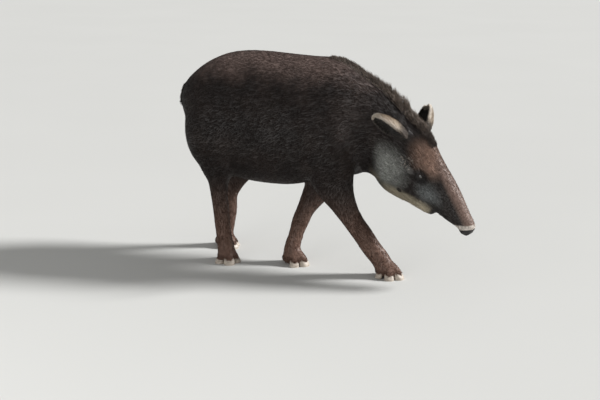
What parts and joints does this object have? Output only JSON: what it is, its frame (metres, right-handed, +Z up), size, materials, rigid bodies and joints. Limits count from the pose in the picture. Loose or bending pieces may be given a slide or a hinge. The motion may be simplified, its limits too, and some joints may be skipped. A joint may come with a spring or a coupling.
{
  "type": "lowland tapir",
  "caption": "Life-size lowland tapir, walking with its head held low and a short bristly mane along the neck, standing on hoofed toes.",
  "frame": {"origin": "on the ground, under the middle of the animal's box", "axes": "+X the way the animal walks, +Y its left side, +Z up"},
  "size_m": [1.4502, 0.5268, 0.995],
  "materials": {
    "coat": "short dark brown coat",
    "head_coat": "short grey-brown coat of the face",
    "mane_coat": "dark brown coat with a bristly mane",
    "ear_skin": "thin short-haired skin with pale rims",
    "leg_coat": "short reddish-brown coat",
    "hoof_horn": "worn pale horn",
    "eye_wet": "wet dark eye"
  },
  "bodies": {
    "root": {"torso": "coat", "tail": "coat", "neck": "mane_coat", "head": "head_coat", "ear_right": "ear_skin", "ear_left": "ear_skin", "eye_right": "eye_wet", "eye_left": "eye_wet", "foreleg_right_upper": "leg_coat", "foreleg_right_lower": "leg_coat", "foreleg_left_upper": "leg_coat", "foreleg_left_lower": "leg_coat", "hindleg_right_upper": "leg_coat", "hindleg_right_lower": "leg_coat", "hindleg_left_upper": "leg_coat", "hindleg_left_lower": "leg_coat", "forefoot_right": "leg_coat", "forefoot_left": "leg_coat", "hindfoot_right": "leg_coat", "hindfoot_left": "leg_coat", "forefoot_right_hoof_inner": "hoof_horn", "forefoot_right_hoof_middle": "hoof_horn", "forefoot_right_hoof_outer": "hoof_horn", "forefoot_right_hoof_last": "hoof_horn", "forefoot_left_hoof_inner": "hoof_horn", "forefoot_left_hoof_middle": "hoof_horn", "forefoot_left_hoof_outer": "hoof_horn", "forefoot_left_hoof_last": "hoof_horn", "hindfoot_right_hoof_inner": "hoof_horn", "hindfoot_right_hoof_middle": "hoof_horn", "hindfoot_right_hoof_outer": "hoof_horn", "hindfoot_left_hoof_inner": "hoof_horn", "hindfoot_left_hoof_middle": "hoof_horn", "hindfoot_left_hoof_outer": "hoof_horn"}
  },
  "joints": []
}
